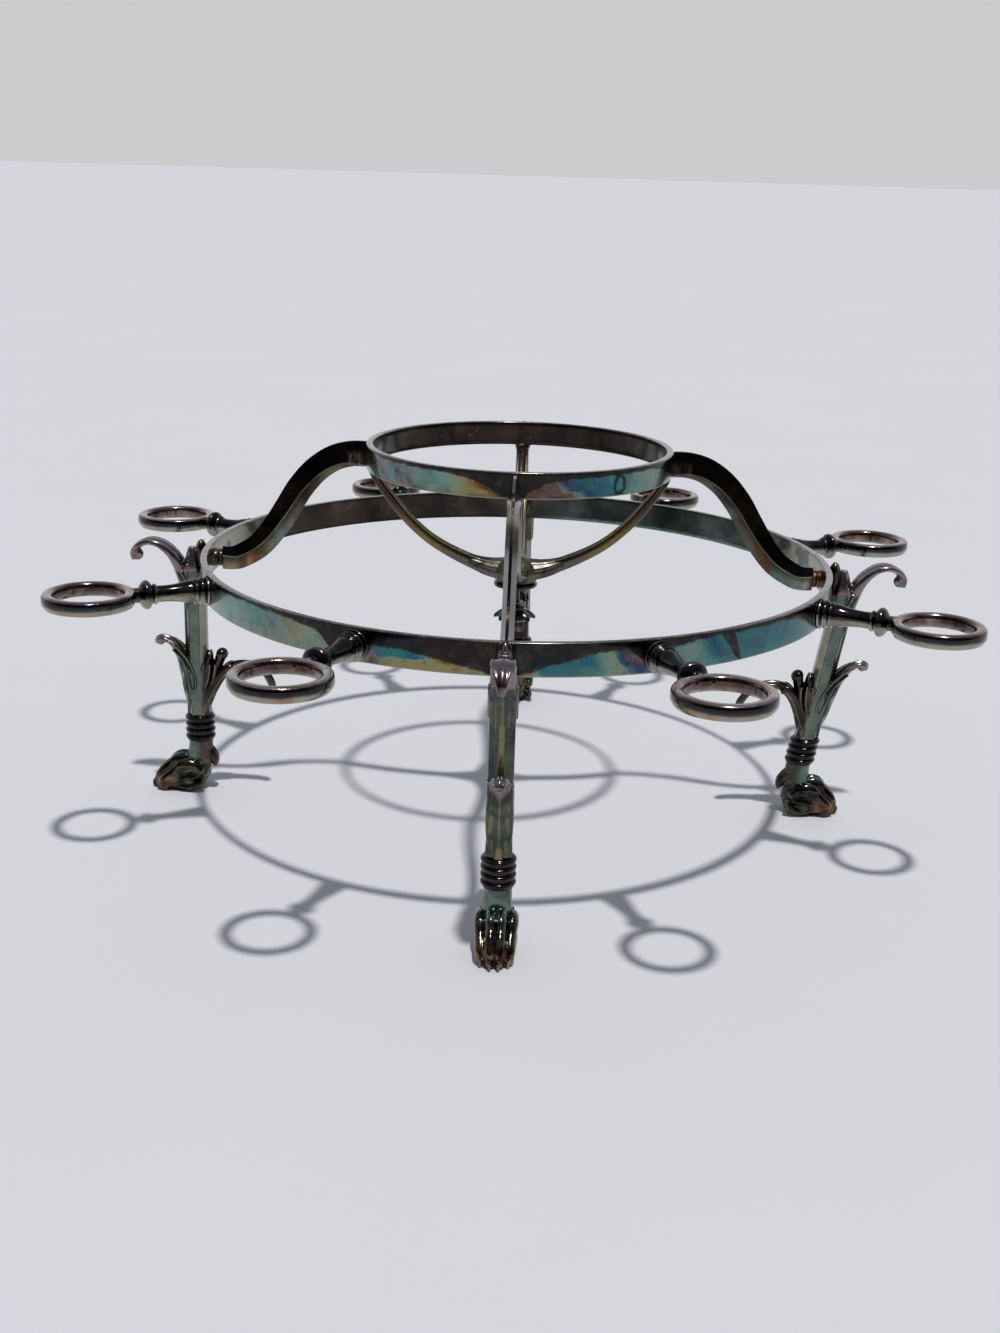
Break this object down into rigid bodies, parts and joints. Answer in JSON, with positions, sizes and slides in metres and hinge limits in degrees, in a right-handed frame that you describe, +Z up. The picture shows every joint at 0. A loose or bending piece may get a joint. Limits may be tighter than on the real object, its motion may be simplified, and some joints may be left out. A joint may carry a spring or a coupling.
{
  "type": "epergne frame",
  "caption": "Low legged table stand with a large band ring, a raised small ring on curved straps, ring-ended arms for small dishes and a rod cradle, silver plate gone dark",
  "frame": {"origin": "on the table, under the common centre of the two rings", "axes": "+Z up; +X right and +Y away in the picture's view; legs and straps on the X and Y axes"},
  "size_m": [0.3074, 0.3074, 0.1356],
  "materials": {
    "band": "silver plate over brass, polished band gone dark with blue-green, gold and purple tarnish",
    "strap": "silver plate over brass, glossy, tarnished near-black to copper brown",
    "leg": "silver-plated brass casting, grey-green tarnish with brassy worn ridges",
    "foot": "silver-plated brass casting, tarnished near-black with brassy high spots",
    "arm": "silver-plated brass casting, glossy, tarnished copper, purple-brown and dark blue",
    "rod": "silver-plated brass rod and hub casting, worn to brown and brassy gold"
  },
  "bodies": {
    "root": {"large_ring": "band", "small_ring": "band", "strap_right": "strap", "strap_rear": "strap", "strap_left": "strap", "strap_front": "strap", "strap_block_right": "strap", "strap_block_rear": "strap", "strap_block_left": "strap", "strap_block_front": "strap", "leg_right": "leg", "leg_rear": "leg", "leg_left": "leg", "leg_front": "leg", "paw_foot_right": "foot", "paw_foot_rear": "foot", "paw_foot_left": "foot", "paw_foot_front": "foot", "ring_arm_right_front": "arm", "ring_arm_right_rear": "arm", "ring_arm_rear_right": "arm", "ring_arm_rear_left": "arm", "ring_arm_left_rear": "arm", "ring_arm_left_front": "arm", "ring_arm_front_left": "arm", "ring_arm_front_right": "arm", "cradle_rod_right": "rod", "cradle_rod_rear": "rod", "cradle_rod_left": "rod", "cradle_rod_front": "rod", "cradle_hub": "rod", "hub_washer": "foot", "hub_stud": "foot", "finial": "foot"}
  },
  "joints": []
}
